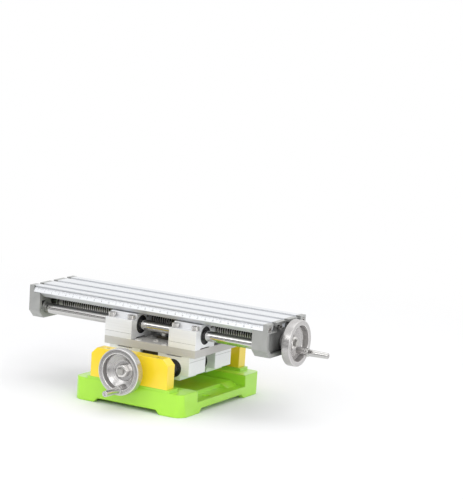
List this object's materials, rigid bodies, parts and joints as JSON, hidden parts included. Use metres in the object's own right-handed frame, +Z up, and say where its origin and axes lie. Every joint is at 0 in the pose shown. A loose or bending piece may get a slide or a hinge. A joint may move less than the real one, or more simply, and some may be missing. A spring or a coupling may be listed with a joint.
{
  "type": "cross slide table",
  "caption": "Bench cross-slide table: a T-slot table on round rods over a saddle and a cast base, moved in X and Y by two lead screws with handwheels.",
  "frame": {"origin": "centre of the base underside", "axes": "+X along the table to its handwheel, +Y back away from the front handwheel, +Z up"},
  "size_m": [0.3686, 0.2286, 0.1135],
  "materials": {
    "green_paint": "gloss enamel on a casting",
    "yellow_paint": "gloss enamel",
    "chrome": "polished",
    "dark_screw": "black oxide",
    "black_seal": "satin, on a steel sleeve",
    "turned_aluminium": "turned, satin",
    "cast_aluminium": "cast, matt",
    "table_aluminium": "extruded, satin",
    "block_aluminium": "extruded, satin",
    "ground_steel": "ground",
    "bronze": "dull",
    "screw_steel": "threaded, oiled",
    "bright_screw": "zinc plated"
  },
  "bodies": {
    "base": {"base_casting": "green_paint", "front_end_block": "yellow_paint", "rear_end_block": "yellow_paint", "end_block_screws": "bright_screw", "cross_rod_left": "chrome", "cross_rod_right": "chrome", "rod_set_screws": "dark_screw", "cross_bush_front": "bronze", "cross_bush_rear": "bronze"},
    "cross_drive": {"cross_screw": "screw_steel", "cross_handwheel": "turned_aluminium", "cross_wheel_nut": "bright_screw", "cross_handle": "chrome"},
    "saddle": {"saddle_plate": "ground_steel", "lower_block_front_left": "block_aluminium", "lower_block_front_right": "block_aluminium", "lower_block_rear_left": "block_aluminium", "lower_block_rear_right": "block_aluminium", "lower_bearing_front_left": "black_seal", "lower_bearing_front_right": "black_seal", "lower_bearing_rear_left": "black_seal", "lower_bearing_rear_right": "black_seal", "upper_block_front_left": "block_aluminium", "upper_block_front_right": "block_aluminium", "upper_block_rear_left": "block_aluminium", "upper_block_rear_right": "block_aluminium", "upper_bearing_front_left": "black_seal", "upper_bearing_front_right": "black_seal", "upper_bearing_rear_left": "black_seal", "upper_bearing_rear_right": "black_seal", "upper_block_screws": "bright_screw", "lower_block_screws": "bright_screw", "cross_nut_block": "bronze", "cross_nut_screw": "bright_screw", "long_nut_block": "bronze", "long_nut_screws": "bright_screw"},
    "table": {"table_top": "table_aluminium", "left_bracket": "cast_aluminium", "right_bracket": "cast_aluminium", "long_rod_front": "chrome", "long_rod_rear": "chrome", "left_bracket_screws": "bright_screw", "right_bracket_screws": "bright_screw", "long_bush_left": "bronze", "long_bush_right": "bronze"},
    "long_drive": {"long_screw": "screw_steel", "long_handwheel": "turned_aluminium", "long_wheel_nut": "bright_screw", "long_handle": "chrome"}
  },
  "joints": [
    {"name": "cross_wheel_turn", "type": "hinge", "parent": "base", "child": "cross_drive", "pos_m": [0, 0, 0.045], "axis": [0, 1, 0], "range_deg": [-2281, 3001]},
    {"name": "cross_slide", "type": "slide", "parent": "base", "child": "saddle", "axis": [0, 1, 0], "range_m": [-0.025, 0.019]},
    {"name": "long_slide", "type": "slide", "parent": "saddle", "child": "table", "axis": [1, 0, 0], "range_m": [-0.067, 0.094]},
    {"name": "long_wheel_turn", "type": "hinge", "parent": "table", "child": "long_drive", "pos_m": [-0.012, 0.003, 0.087], "axis": [1, 0, 0], "range_deg": [-8042, 11281]}
  ],
  "couplings": [
    {"joint": "cross_wheel_turn", "follows": "cross_slide", "rad_per_m": -2094.4},
    {"joint": "long_wheel_turn", "follows": "long_slide", "rad_per_m": 2094.4}
  ]
}
